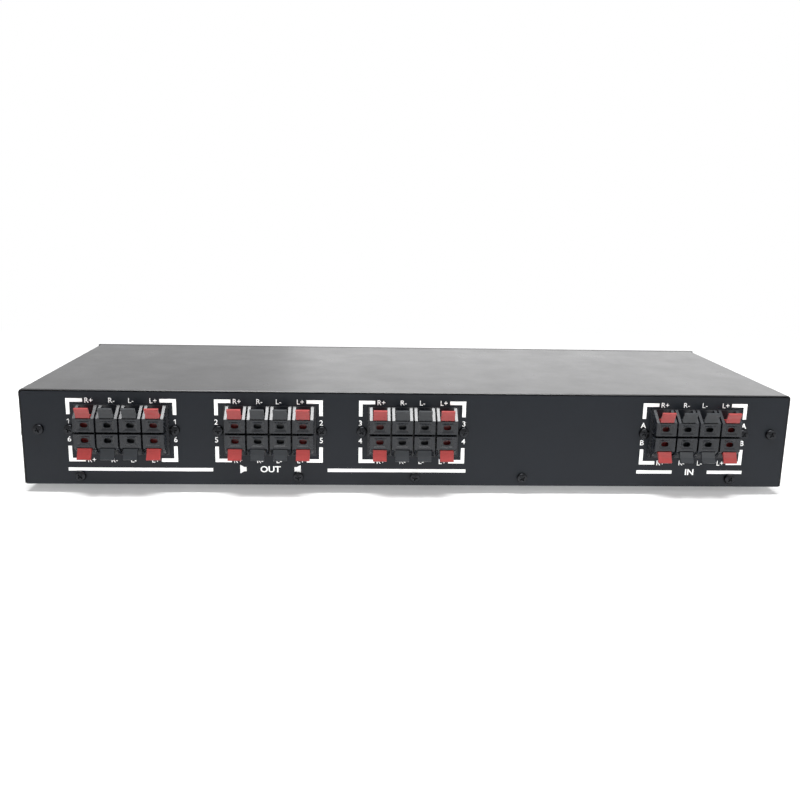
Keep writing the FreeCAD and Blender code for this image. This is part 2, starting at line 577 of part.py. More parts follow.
def make_button(number, name):
    """A rectangular cap with a square stem that runs in its switch."""
    body = doc.addObject("PartDesign::Body", "button_" + name)
    cap = outlines(body, "cap_outline", "XZ_Plane", [rectangle("0", "0", "button_wide", "button_tall")],
                   "-button_proud")
    solid = extrude(body, "Pad", "cap", cap, "button_proud + front_thick + cap_back")
    edge = value("button_proud")
    round_edges(body, "cap_edges", solid, "front_round / 2",
                lambda a, b: abs(a.y - edge) < 1e-6 and abs(b.y - edge) < 1e-6)
    rod = outlines(body, "stem_outline", "XZ_Plane", [rectangle("0", "0", "stem", "stem")],
                   "front_thick + cap_back")
    extrude(body, "Pad", "stem_rod", rod, "stem_long")
    keep(place(body, "(%s) * button_pitch" % (number - 3.5), FRONT, BUTTON_LEVEL), "button_" + name)


# Screws and feet

def make_fasteners():
    to_rear = ((1, 0, 0), 90)
    high = ["foot_tall + " + rise for _, rise in LOW_SCREWS + END_SCREWS]
    panel = [screw("panel_screw_%d" % i, x, REAR, z, *to_rear)
             for i, ((x, _), z) in enumerate(zip(LOW_SCREWS + END_SCREWS, high))]
    keep(group("rear_panel_screws", panel), "rear_panel_screws")
    clamps = []
    for name, centre, _ in BLOCKS:
        for side in "+-":
            clamps.append(screw("clamp_%s_%d" % (name, len(clamps)), "%s %s %s" % (centre, side, BLOCK_SCREW),
                                REAR, BLOCK_LEVEL, *to_rear))
    keep(group("terminal_screws", clamps), "terminal_screws")
    sides = []
    for y, z in SIDE_SCREWS:
        sides.append(screw("side_screw_%d" % len(sides), "case_wide / 2", y, "foot_tall + " + z, (0, 1, 0), 90))
        sides.append(screw("side_screw_%d" % len(sides), "-case_wide / 2", y, "foot_tall + " + z, (0, 1, 0), -90))
    keep(group("cover_screws", sides), "cover_screws")
    front = [screw("front_screw_%d" % i, x, TRAY_FRONT + " - tray_sheet", "foot_tall + " + z, *to_rear,
                   long="tray_sheet + pilot_deep - pilot_spare") for i, (x, z) in enumerate(FRONT_SCREWS)]
    keep(group("front_panel_screws", front), "front_panel_screws")
    feet = [cone("foot_%d" % i, "foot_radius - foot_taper", "foot_radius", "foot_tall", x, y, "0")
            for i, (x, y) in enumerate(FOOT_SPOTS)]
    keep(group("rubber_feet", feet), "rubber_feet")


make_cover()
make_tray()
make_rear_panel()
make_front_panel()
for block, centre, rows in BLOCKS:
    make_block(block, centre)
    for row, below in zip(rows, (False, True)):
        for column, (channel_side, pole) in enumerate(COLUMNS):
            make_lever("lever_%s_%s_%s" % (row, channel_side, pole), centre, column, below)
make_contacts()
make_switches()
for number, name in enumerate(BUTTONS):
    make_button(number, name)
make_fasteners()
doc.recompute()

faults = [item.Name for item in doc.Objects if "Invalid" in item.State or "Error" in item.State]
faults += [node.Label for node in nodes if node.Shape.isNull() or not node.Shape.isValid()]
if faults:
    raise SystemExit("not built: " + ", ".join(faults))
os.makedirs("parts", exist_ok=True)
for node in nodes:
    node.Shape.exportStep(os.path.join("parts", node.Label + ".step"))
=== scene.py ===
import json
import math
import bpy
import numpy as np
from mathutils import Matrix, Vector


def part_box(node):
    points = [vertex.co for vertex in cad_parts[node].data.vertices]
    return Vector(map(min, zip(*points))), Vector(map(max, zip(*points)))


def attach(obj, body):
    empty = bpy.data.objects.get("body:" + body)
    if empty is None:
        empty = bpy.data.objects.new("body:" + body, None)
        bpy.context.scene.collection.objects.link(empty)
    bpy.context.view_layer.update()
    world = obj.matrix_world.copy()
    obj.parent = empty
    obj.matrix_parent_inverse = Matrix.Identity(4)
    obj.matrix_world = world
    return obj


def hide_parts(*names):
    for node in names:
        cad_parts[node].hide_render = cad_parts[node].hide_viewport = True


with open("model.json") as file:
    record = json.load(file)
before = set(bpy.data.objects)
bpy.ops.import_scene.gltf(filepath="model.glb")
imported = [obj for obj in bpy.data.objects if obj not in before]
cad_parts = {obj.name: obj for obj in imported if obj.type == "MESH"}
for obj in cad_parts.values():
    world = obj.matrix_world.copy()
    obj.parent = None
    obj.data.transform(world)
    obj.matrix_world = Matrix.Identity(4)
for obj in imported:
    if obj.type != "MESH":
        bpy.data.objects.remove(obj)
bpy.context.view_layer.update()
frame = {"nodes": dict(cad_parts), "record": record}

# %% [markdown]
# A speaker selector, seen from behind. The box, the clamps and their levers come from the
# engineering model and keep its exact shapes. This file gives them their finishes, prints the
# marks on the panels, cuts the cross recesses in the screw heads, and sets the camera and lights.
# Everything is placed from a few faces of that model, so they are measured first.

MM = 0.001
face_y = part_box("rear_panel")[0].y
front_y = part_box("front_panel")[1].y
case_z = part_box("base_tray")[0].z
cover_low, cover_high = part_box("top_cover")


def put(name, data):
    """An object that holds the data, unturned at the origin, in the scene."""
    thing = bpy.data.objects.new(name, data)
    bpy.context.scene.collection.objects.link(thing)
    return thing


print("rear panel face at y = %.1f mm, case bottom at z = %.1f mm" % (face_y / MM, case_z / MM))

# %% [markdown]
# The photograph is taken from a little left of the middle and about 13 degrees above the box.
# The camera was worked out from the six visible corners of the case, so its place, turn and lens
# are written as real distances and angles from the rear panel.

# %% Camera
SENSOR_WIDE = 36.0
FOCAL_IN_PICTURE_WIDTHS = 1.07545
NEAREST_SEEN = 0.01
EYE = Vector((-29.91, -465.14, 156.30)) * MM
YAW, PITCH, ROLL = 0.049206, -0.225098, 0.020068


def camera_axes(yaw, pitch, roll):
    """Right, up and forward: forward from the two angles, then both others rolled about it."""
    forward = Vector((math.sin(yaw) * math.cos(pitch), math.cos(yaw) * math.cos(pitch),
                      math.sin(pitch)))
    level = Vector((math.cos(yaw), -math.sin(yaw), 0))
    upright = level.cross(forward)
    right = math.cos(roll) * level + math.sin(roll) * upright
    up = -math.sin(roll) * level + math.cos(roll) * upright
    return right, up, forward


right, up, forward = camera_axes(YAW, PITCH, ROLL)
camera = put("camera", bpy.data.cameras.new("camera"))
camera.data.sensor_width = SENSOR_WIDE
camera.data.lens = SENSOR_WIDE * FOCAL_IN_PICTURE_WIDTHS
camera.data.clip_start = NEAREST_SEEN
turned = Matrix((right, up, -forward)).transposed().to_4x4()
camera.matrix_world = Matrix.Translation(EYE + Vector((0, face_y, case_z))) @ turned
bpy.context.scene.camera = camera
print("lens %.2f mm" % camera.data.lens)

# %% [markdown]
# The box stands on white paper. More light on the paper would make it white, but would spoil the
# box as well. So two surfaces are mixed instead: lit paper, which takes the shadow, and plain
# white, which only the camera, a gloss or a clear body sees. Near the box there is mostly paper,
# and further off more and more white, so no edge of the shadow's ground can be seen.

# %% Rays and wires
PLAIN_WHITE = 1.0


def wire(tree, *pairs):
    """Links each output to its input."""
    for source, target in pairs:
        tree.links.new(source, target)


def seen_directly(tree):
    """1 for a ray of the camera, a gloss or a clear body, and 0 for the light on the object."""
    path = tree.nodes.new("ShaderNodeLightPath")
    total = path.outputs["Is Camera Ray"]
    for kind in ("Is Glossy Ray", "Is Transmission Ray"):
        either = tree.nodes.new("ShaderNodeMath")
        either.operation = "MAXIMUM"
        wire(tree, (total, either.inputs[0]), (path.outputs[kind], either.inputs[1]))
        total = either.outputs[0]
    return total


print("rays that see plain white: camera, glossy and transmission")

# %% [markdown]
# The paper is one flat sheet. How much white goes into it depends on the distance from the box,
# and the distance along the box counts half, because the box is long.

# %% White paper
FLOOR_SPAN = 6.0
PAPER = 0.9
WHITE_NEAR, WHITE_FAR = 0.23, 1.0
NEAR, FAR = 0.16, 0.60
ALONG_COUNTS = 0.5


def make_floor():
    """A flat square sheet on the table."""
    half = FLOOR_SPAN / 2
    corners = [(-half, -half, 0), (half, -half, 0), (half, half, 0), (-half, half, 0)]
    mesh = bpy.data.meshes.new("floor")
    mesh.from_pydata(corners, [], [(0, 1, 2, 3)])
    floor = put("floor", mesh)
    return floor


def floor_finish():
    """Share of white = smooth step of the distance, from WHITE_NEAR at NEAR to WHITE_FAR at FAR."""
    material = bpy.data.materials.new("white_sweep")
    material.use_nodes = True
    tree = material.node_tree
    tree.nodes.clear()
    out = tree.nodes.new("ShaderNodeOutputMaterial")
    paper = tree.nodes.new("ShaderNodeBsdfDiffuse")
    paper.inputs["Color"].default_value = (PAPER, PAPER, PAPER, 1)
    plain = tree.nodes.new("ShaderNodeEmission")
    plain.inputs["Strength"].default_value = PLAIN_WHITE
    place = tree.nodes.new("ShaderNodeTexCoord")
    squeeze = tree.nodes.new("ShaderNodeVectorMath")
    squeeze.operation = "MULTIPLY"
    squeeze.inputs[1].default_value = (ALONG_COUNTS, 1.0, 0.0)
    reach = tree.nodes.new("ShaderNodeVectorMath")
    reach.operation = "LENGTH"
    fade = tree.nodes.new("ShaderNodeMapRange")
    fade.interpolation_type = "SMOOTHSTEP"
    for socket, value in (("From Min", NEAR), ("From Max", FAR),
                          ("To Min", WHITE_NEAR), ("To Max", WHITE_FAR)):
        fade.inputs[socket].default_value = value
    share = tree.nodes.new("ShaderNodeMath")
    share.operation = "MULTIPLY"
    mix = tree.nodes.new("ShaderNodeMixShader")
    wire(tree, (place.outputs["Object"], squeeze.inputs[0]),
         (squeeze.outputs["Vector"], reach.inputs[0]),
         (reach.outputs["Value"], fade.inputs["Value"]),
         (fade.outputs["Result"], share.inputs[1]),
         (seen_directly(tree), share.inputs[0]),
         (share.outputs[0], mix.inputs[0]),
         (paper.outputs[0], mix.inputs[1]),
         (plain.outputs[0], mix.inputs[2]),
         (mix.outputs[0], out.inputs["Surface"]))
    return material


floor = make_floor()
floor.data.materials.append(floor_finish())
print("paper %.0f m square" % FLOOR_SPAN)

# %% [markdown]
# Past the paper comes the room. It gives a dim, even light from all sides, and the same plain
# white as the paper to the camera and to every gloss.

# %% Room
ROOM_LIGHT = 0.22


def make_room():
    """A background of dim light, and of plain white for the rays that see it directly."""
    world = bpy.data.worlds.new("studio")
    bpy.context.scene.world = world
    world.use_nodes = True
    tree = world.node_tree
    tree.nodes.clear()
    out = tree.nodes.new("ShaderNodeOutputWorld")
    mix = tree.nodes.new("ShaderNodeMixShader")
    for number, strength in enumerate((ROOM_LIGHT, PLAIN_WHITE)):
        shade = tree.nodes.new("ShaderNodeBackground")
        shade.inputs["Color"].default_value = (1, 1, 1, 1)
        shade.inputs["Strength"].default_value = strength
        wire(tree, (shade.outputs[0], mix.inputs[1 + number]))
    wire(tree, (seen_directly(tree), mix.inputs[0]), (mix.outputs[0], out.inputs["Surface"]))


make_room()
print("room light %.2f" % ROOM_LIGHT)

# %% [markdown]
# One lamp hangs overhead. The sloping cheeks of the clamps and the bevelled edge of the cover
# mirror it towards the camera, so they shine white. Two pale cards stand behind the box, which
# the flat top mirrors at a low angle: it turns grey, paler towards the right. A card in front
# gives the tabs their sheen, and a lamp low on the right lifts that end of the panel. That one
# has to be broad: a small one shows as a hot patch on the top when it is seen from the front.

# %% Lamps
LAMPS = {    # spot, aim, width, depth, watts
    "overhead": ((-0.02, -0.13, 1.05), (-0.02, -0.12, 0), 0.80, 0.42, 29),
    "back_card": ((0.0, 1.15, 0.42), (0, 0, 0.05), 2.6, 0.80, 0.4),
    "back_card_right": ((0.38, 1.10, 0.42), (0.1, 0, 0.05), 1.16, 0.80, 2.3),
    "front_card": ((0.15, -1.35, 0.95), (0.0, 0, 0.03), 1.5, 0.5, 3.0),
    "right_low": ((0.85, -0.70, 0.40), (0.20, -0.07, 0.03), 1.0, 0.6, 3.4),
}


def softbox(name, spot, aim, wide, deep, watts):
    """A rectangular lamp at a spot, turned to shine on its aim, which the camera doesn't see."""
    lamp = bpy.data.lights.new(name, "AREA")
    lamp.shape = "RECTANGLE"
    lamp.size, lamp.size_y = wide, deep
    lamp.energy = watts
    holder = put(name, lamp)
    holder.location = spot
    holder.rotation_mode = "QUATERNION"
    holder.rotation_quaternion = (Vector(aim) - Vector(spot)).to_track_quat("-Z", "Y")
    holder.visible_camera = False


for name, setting in LAMPS.items():
    softbox(name, *setting)
bpy.context.scene.view_settings.view_transform = "Standard"
print("lamps:", ", ".join(LAMPS))

# %% [markdown]
# Most finishes here are black, so what sets them apart is how they shine. One helper makes a
# surface with a fine grain in its relief and a slower unevenness in its gloss, both in real
# distances. Each finish below then only states its colour, gloss and grain.

# %% A helper for finishes
RELIEF_DEPTH = 0.3 * MM
FINE_DETAIL, BROAD_DETAIL, BROAD_ROUGHNESS = 3, 6, 0.65


def noise(tree, place, size, detail):
    """A noise whose features are about the given size, in metres."""
    node = tree.nodes.new("ShaderNodeTexNoise")
    node.inputs["Scale"].default_value = 1 / size
    node.inputs["Detail"].default_value = detail
    wire(tree, (place.outputs["Object"], node.inputs["Vector"]))
    return node


def finish(name, colour, rough, metal=0.0, grain=0.0006, relief=0.02, patch=0.03, uneven=0.08,
           lift=0.15, shine=0.5):
    """A surface whose relief follows a fine noise and whose gloss and tone follow a broad one.

    Roughness = rough plus or minus uneven, and colour = colour times 1 plus or minus lift.
    """
    material = bpy.data.materials.new(name)
    material.use_nodes = True
    tree = material.node_tree
    shader = tree.nodes["Principled BSDF"]
    shader.inputs["Metallic"].default_value = metal
    shader.inputs["Specular IOR Level"].default_value = shine
    place = tree.nodes.new("ShaderNodeTexCoord")
    fine = noise(tree, place, grain, FINE_DETAIL)
    broad = noise(tree, place, patch, BROAD_DETAIL)
    broad.inputs["Roughness"].default_value = BROAD_ROUGHNESS
    gloss = tree.nodes.new("ShaderNodeMapRange")
    gloss.inputs["To Min"].default_value = rough - uneven
    gloss.inputs["To Max"].default_value = rough + uneven
    tone = tree.nodes.new("ShaderNodeMix")
    tone.data_type = "RGBA"
    tone.inputs["A"].default_value = (*[part * (1 - lift) for part in colour], 1)
    tone.inputs["B"].default_value = (*[part * (1 + lift) for part in colour], 1)
    bump = tree.nodes.new("ShaderNodeBump")
    bump.inputs["Strength"].default_value = relief
    bump.inputs["Distance"].default_value = RELIEF_DEPTH
    wire(tree, (broad.outputs["Fac"], gloss.inputs["Value"]),
         (gloss.outputs["Result"], shader.inputs["Roughness"]),
         (broad.outputs["Fac"], tone.inputs["Factor"]),
         (tone.outputs["Result"], shader.inputs["Base Color"]),
         (fine.outputs["Fac"], bump.inputs["Height"]),
         (bump.outputs["Normal"], shader.inputs["Normal"]))
    return material


print("relief up to %.1f mm deep" % (RELIEF_DEPTH / MM))

# %% [markdown]
# The steel is sprayed black, a little bluer and duller on the rear panel. The clamps are moulded
# in black plastic and the tabs in red or black, worn to a patchy gloss. Inside are plated steel,
# bronze springs, brass pillars, green boards and white ceramic. Each node wears the finish of
# its slot in the record.

# %% Finishes
RECIPES = {
    "black_paint": dict(colour=(0.012, 0.012, 0.013), rough=0.30, grain=0.0005, relief=0.10,
                        shine=0.26),
    "panel_paint": dict(colour=(0.0055, 0.0075, 0.0110), rough=0.38, grain=0.0004, relief=0.10,
                        shine=0.19),
    "front_finish": dict(colour=(0.010, 0.010, 0.011), rough=0.40, relief=0.05, shine=0.24),
    "plated_steel": dict(colour=(0.56, 0.57, 0.58), rough=0.34, metal=1.0, patch=0.012,
                         uneven=0.12),
    "plated_screws": dict(colour=(0.60, 0.60, 0.62), rough=0.3, metal=1.0, patch=0.003),
    "black_screws": dict(colour=(0.021, 0.022, 0.024), rough=0.19, metal=1.0, patch=0.002,
                         uneven=0.07),
    "black_moulding": dict(colour=(0.009, 0.0105, 0.0135), rough=0.27, grain=0.0003, patch=0.006,
                           uneven=0.04, shine=0.34),
    "red_lever": dict(colour=(0.205, 0.018, 0.017), rough=0.32, grain=0.0004, patch=0.0022,
                      uneven=0.13, lift=0.16, shine=0.38),
    "black_lever": dict(colour=(0.007, 0.009, 0.0115), rough=0.32, grain=0.0004, patch=0.0022,
                        uneven=0.13, shine=0.36),
    "spring_bronze": dict(colour=(0.72, 0.55, 0.36), rough=0.3, metal=1.0, patch=0.002),
    "standoff_brass": dict(colour=(0.78, 0.62, 0.34), rough=0.28, metal=1.0, patch=0.003),
    "circuit_board": dict(colour=(0.03, 0.16, 0.07), rough=0.35, grain=0.0008, patch=0.01),
    "switch_plastic": dict(colour=(0.05, 0.05, 0.055), rough=0.45, patch=0.004),
    "resistor_ceramic": dict(colour=(0.72, 0.70, 0.66), rough=0.7, grain=0.0003, relief=0.2),
    "button_plastic": dict(colour=(0.034, 0.034, 0.037), rough=0.28, patch=0.006),
    "foot_rubber": dict(colour=(0.018, 0.018, 0.018), rough=0.75, grain=0.0005, relief=0.3),
}
FINISHES = {name: finish(name, **recipe) for name, recipe in RECIPES.items()}
slot_of = {row["node"]: row["material_slot"] for row in frame["record"]["subparts"]}
for node, solid in frame["nodes"].items():
    solid.data.materials.clear()
    solid.data.materials.append(FINISHES[slot_of[node]])
print(len(FINISHES), "finishes on", len(slot_of), "nodes")

# %% [markdown]
# No moulded or bent edge is perfectly sharp. A narrow bevel gives the edges that show the thin
# highlight that tells the eye it is a real thing. The engineering mesh is loose triangles, so
# its corners are welded first, in modifiers that leave the mesh itself alone. The cover's bevel
# is one flat strip, because on the real one that edge is a single bright line.

# %% Soft edges
SHARP = math.radians(28)
SAME_POINT = 1e-6
LEVERS = sorted(node for node in frame["nodes"] if node.startswith("lever_"))
BUTTONS = sorted(node for node in frame["nodes"] if node.startswith("button_"))
BLOCKS = ("output_block_left", "output_block_middle", "output_block_right", "input_block")
EDGES = (    # nodes, width of the bevel in mm, strips across it
    (LEVERS, 0.16, 2), (BLOCKS, 0.10, 2), (BUTTONS, 0.35, 2),
    (("top_cover",), 0.48, 1), (("rear_panel",), 0.25, 2), (("front_panel",), 0.35, 2))


def soften(node, width, steps):
    """Welds a node's corners and bevels its sharp edges, while it is drawn."""
    solid = frame["nodes"][node]
    weld = solid.modifiers.new("weld", "WELD")
    weld.merge_threshold = SAME_POINT
    bevel = solid.modifiers.new("soft_edge", "BEVEL")
    bevel.width = width
    bevel.segments = steps
    bevel.limit_method = "ANGLE"
    bevel.angle_limit = SHARP


for nodes, width, steps in EDGES:
    for node in nodes:
        soften(node, width * MM, steps)
print("softened", sum(len(nodes) for nodes, _, _ in EDGES), "nodes")

# %% [markdown]
# The white marks are screen-printed: a film of ink a few hundredths of a millimetre thick.
# A picture on the panel could show them, but real islands of ink stay sharp from any distance.
# Each bar is a flat rectangle and each sign a text outline, both given that thickness and laid
# on the panel. They all join in one mesh, because one pass of ink is one piece.

# %% Ink helpers
INK = 0.04 * MM
SLAB = [(4, 5, 6, 7), (0, 3, 2, 1), (0, 1, 5, 4), (1, 2, 6, 5), (2, 3, 7, 6), (3, 0, 4, 7)]
ink_points, ink_faces = [], []


def add_ink(points, faces):
    """Adds one island to the print."""
    start = sum(len(block) for block in ink_points)
    ink_points.append(np.asarray(points, float))
    ink_faces.extend([tuple(start + corner for corner in face) for face in faces])


def rear_ink(across, rise, height):
    """A spot on the rear: across from its middle, rise from the case's bottom, height off it."""
    return np.stack([across * MM, face_y - height, case_z + rise * MM], axis=-1)


def slab(corners, clockwise=False):
    """Ink over four corners (across, rise): a thin box whose back lies on the panel."""
    across, rise = np.array(corners * 2, float).T
    faces = [face[::-1] for face in SLAB] if clockwise else SLAB
    add_ink(rear_ink(across, rise, np.repeat([0.0, INK], 4)), faces)


def bar(left, right, low, high):
    """A printed rectangle."""
    slab([(left, low), (right, low), (right, high), (left, high)])


def join_ink(name, slot_finish):
    """One mesh of every island added so far."""
    mesh = bpy.data.meshes.new(name)
    mesh.from_pydata(np.concatenate(ink_points).tolist(), [], ink_faces)
    mesh.materials.append(slot_finish)
    piece = put(name, mesh)
    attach(piece, "case")
    print(name, "has", len(mesh.polygons), "faces")
    ink_points.clear()
    ink_faces.clear()


white_ink = finish("white_ink", (0.93, 0.93, 0.92), 0.5, grain=0.0003, relief=0.05, lift=0.03)
print("ink %.2f mm thick" % (INK / MM))

# %% [markdown]
# Letters come from Blender's own typeface. A text object is made a mesh at the origin, and its
# points are then carried to the panel by arithmetic, so the piece itself is never moved. The
# figure one is drawn from given shapes, because the typeface has it as a bare stroke, and so is
# the plain picture of a speaker: an upright back and a flared front.

# %% Signs
CAP_SHARE = 0.70         # a capital's height as a share of the text size
CURVE_STEPS = 3
ANY_DEPTH = 0.02         # only tells front from back, before the ink's own thickness
ONE_STROKE, FLAG_LOW, FLAG_REACH = 0.13, 0.16, 0.27      # shares of the figure's height
FLAG_DEEP = 1.15         # the flag's depth as a share of the bar's width
BACK_SHARE, FLARE_SHARE = 0.25, 0.45                     # shares of the picture's size


def outline(words, bold):
    """The points and faces of a text, flat, a little swollen by bold."""
    curve = bpy.data.curves.new("sign", "FONT")
    curve.body = words
    curve.size = 1.0
    curve.offset = bold / 2
    curve.align_x, curve.align_y = "CENTER", "CENTER"
    curve.resolution_u = CURVE_STEPS
    curve.extrude = ANY_DEPTH
    holder = put("sign", curve)
    drawn = holder.evaluated_get(bpy.context.evaluated_depsgraph_get())
    made = bpy.data.meshes.new_from_object(drawn)
    flat = np.empty(len(made.vertices) * 3)
    made.vertices.foreach_get("co", flat)
    faces = [tuple(face.vertices) for face in made.polygons]
    bpy.data.objects.remove(holder)
    bpy.data.curves.remove(curve)
    bpy.data.meshes.remove(made)
    return flat.reshape(-1, 3), faces


def sign(words, across, rise, cap, bold=0.045, front=False, stretch=1.0):
    """Words of a given capital height, centred on a spot, on the rear panel or on the front."""
    flat, faces = outline(words, bold)
    scale = cap / CAP_SHARE
    middle = (flat[:, 0].max() + flat[:, 0].min()) / 2
    level = (flat[:, 1].max() + flat[:, 1].min()) / 2
    u = (flat[:, 0] - middle) * scale * stretch
    v = (flat[:, 1] - level) * scale
    height = np.where(flat[:, 2] > 0, INK, 0.0)
    if front:
        points = np.stack([(across - u) * MM, front_y + height, case_z + (rise + v) * MM], axis=-1)
    else:
        points = rear_ink(across + u, rise + v, height)
    add_ink(points, faces)


def figure_one(across, rise, cap):
    """An upright bar, and a flag that slopes down to the left from its top."""
    half, wide = cap / 2, ONE_STROKE * cap
    top, low = rise + half, rise + FLAG_LOW * cap
    deep, left = FLAG_DEEP * wide, across - FLAG_REACH * cap
    bar(across, across + wide, rise - half, top)
    slab([(across, top), (across, top - deep), (left, low), (left, low + deep)], clockwise=True)


def speaker_picture(middle, rise, size, side):
    """A back a quarter as wide as the size and half as tall, and a flare up to its full height."""
    back, mouth = BACK_SHARE * size, size / 2
    waist = mouth / 2
    bar(middle - back / 2, middle + back / 2, rise - waist, rise + waist)
    edge = middle + side * back / 2
    far = edge + side * FLARE_SHARE * size
    slab([(edge, rise - waist), (far, rise - mouth), (far, rise + mouth), (edge, rise + waist)],
         clockwise=side < 0)


print("a capital is %.2f of the text size" % CAP_SHARE)

# %% [markdown]
# Each block of clamps has a bracket round it, a sign over and under every column, and its row
# numbers beside the screws. The long bars below group the outputs and the inputs, and OUT, IN and
# a plain picture of a speaker say which is which. All places are in millimetres, across from the
# middle of the panel and up from the bottom of the case.

# %% Print on the rear panel
PRINT_MIDDLES = {-160.0: ("1", "6"), -79.6: ("2", "5"), 0.15: ("3", "4"), 160.35: ("A", "B")}
BRACKET_REACH, BRACKET_LOW, BRACKET_HIGH = 29.85, 13.1, 49.05
BRACKET_ARM, STROKE = 9.0, 2.0
ROW_REACH, ROW_RISES, ROW_CAP, ONE_CAP, ROW_BOLD = 29.0, (36.2, 26.0), 3.0, 2.6, 0.018
SIGN_SPOTS = {"R+": -17.4, "R-": -5.05, "L-": 5.45, "L+": 17.5}
SIGN_RISES, SIGN_CAP, SIGN_BOLD = (48.0, 14.1), 2.85, 0.006
GROUP_BARS = ((-190.5, -111), (-47, 31), (129.5, 150), (170.6, 191))
GROUP_LOW, GROUP_HIGH = 7.7, 9.6
WORDS = (("OUT", -79, 9.1), ("IN", 160.3, 8.7))
WORD_CAP, WORD_STRETCH = 3.4, 1.1
SPEAKERS = ((-93, -1), (-65, 1))
SPEAKER_RISE, SPEAKER_SIZE = 9.1, 5.0


def bracket(outer, side):
    """Two corners on one side of a block, one low and one high: an upright and an arm each."""
    inner, far = outer - side * STROKE, outer - side * BRACKET_ARM
    for low, high, edge in ((BRACKET_LOW, BRACKET_LOW + BRACKET_ARM, BRACKET_LOW),
                            (BRACKET_HIGH - BRACKET_ARM, BRACKET_HIGH, BRACKET_HIGH - STROKE)):
        bar(min(outer, inner), max(outer, inner), low, high)
        bar(min(inner, far), max(inner, far), edge, edge + STROKE)


for middle, rows in PRINT_MIDDLES.items():
    for side in (-1, 1):
        bracket(middle + side * BRACKET_REACH, side)
        for row, rise in zip(rows, ROW_RISES):
            if row == "1":
                figure_one(middle + side * ROW_REACH, rise, ONE_CAP)
            else:
                sign(row, middle + side * ROW_REACH, rise, ROW_CAP, bold=ROW_BOLD)
    for words, offset in SIGN_SPOTS.items():
        for rise in SIGN_RISES:
            sign(words, middle + offset, rise, SIGN_CAP, bold=SIGN_BOLD)
for left, right in GROUP_BARS:
    bar(left, right, GROUP_LOW, GROUP_HIGH)
for words, across, rise in WORDS:
    sign(words, across, rise, WORD_CAP, stretch=WORD_STRETCH)
for across, side in SPEAKERS:
    speaker_picture(across, SPEAKER_RISE, SPEAKER_SIZE, side)
join_ink("rear_print", white_ink)

# %% [markdown]
# The front has a plain number over each speaker button and A/B over the input button. The button
# at the other end has no mark. Seen from the front, the row runs the other way.

# %% Print on the front panel
BUTTON_PITCH, FIRST_BUTTON = 36.0, -2.5
FRONT_SIGNS = ("1", "2", "3", "4", "5", "6", "A/B")
FRONT_RISE, FRONT_CAP = 37.5, 3.2
for number, words in enumerate(FRONT_SIGNS):
    sign(words, (number + FIRST_BUTTON) * BUTTON_PITCH, FRONT_RISE, FRONT_CAP, front=True)
join_ink("front_print", white_ink)

# %% [markdown]
# Screws and feet are both skins of rings: points round an axis, ring after ring, closed by one
# point at each end. One helper joins any such points into faces, and one makes the piece that
# stands for a node of the engineering model.

# %% Helpers for ringed skins


def skin_faces(rings, around, flip=False):
    """Faces of a ringed skin whose two end points come after the rings.

    Point i * around + j is on ring i at angle j. Each face joins two neighbours on a ring to
    the same two on the next ring, and each end is a fan about its point.
    """
    i, j = np.meshgrid(np.arange(rings - 1), np.arange(around), indexing="ij")
    a, b = i * around + j, i * around + (j + 1) % around
    faces = np.stack([a, a + around, b + around, b], axis=-1).reshape(-1, 4).tolist()
    here, last, end = np.arange(around), (rings - 1) * around, rings * around
    after = (here + 1) % around
    faces += np.stack([np.full(around, end), here, after], axis=-1).tolist()
    faces += np.stack([np.full(around, end + 1), last + after, last + here], axis=-1).tolist()
    return [face[:1] + face[:0:-1] for face in faces] if flip else faces


def stand_in(name, node, skins, faces):
    """One smooth piece of several equal skins, riding on the case in place of a node."""
    cells = [tuple(number * len(skins[0]) + corner for corner in face)
             for number in range(len(skins)) for face in faces]
    mesh = bpy.data.meshes.new(name)
    mesh.from_pydata(np.concatenate(skins).tolist(), [], cells)
    mesh.polygons.foreach_set("use_smooth", [True] * len(mesh.polygons))
    mesh.materials.append(FINISHES[slot_of[node]])
    piece = put(name, mesh)
    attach(piece, "case")
    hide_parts(node)
    print(name, "has", len(skins), "skins of", len(faces), "faces")


print("a ring of 4 and its next have", len(skin_faces(2, 4)), "faces with their ends")

# %% [markdown]
# A pan-head screw is turned, then its cross is punched. The head here is one round grid of
# rings: each ring's height follows the dome, and inside the cross it drops to a tapering floor.
# The same grid runs on over the rim and down the shank, so each screw is one closed skin.

# %% Shape of a screw
HEAD_RADIUS, HEAD_TALL, SHANK_RADIUS, SHANK_LONG = 2.9, 1.9, 1.5, 6.0
DOME_DROP, RIM_ROUND, RIM_DROP = 0.42, 0.45, 0.75
POINT_LONG, POINT_SHARE = 0.7, 0.6
CROSS_REACH, CROSS_HALF, CROSS_DEEP = 1.55, 0.36, 1.15
CROSS_WIDEST, CROSS_NARROWS, CROSS_SHALLOWS = 1.25, 0.35, 0.45
CROSS_WALL, CROSS_END = 0.10, 0.25
FIRST_RING, HEAD_RINGS, RIM_STEPS, SCREW_AROUND = 0.04, 26, 7, 72


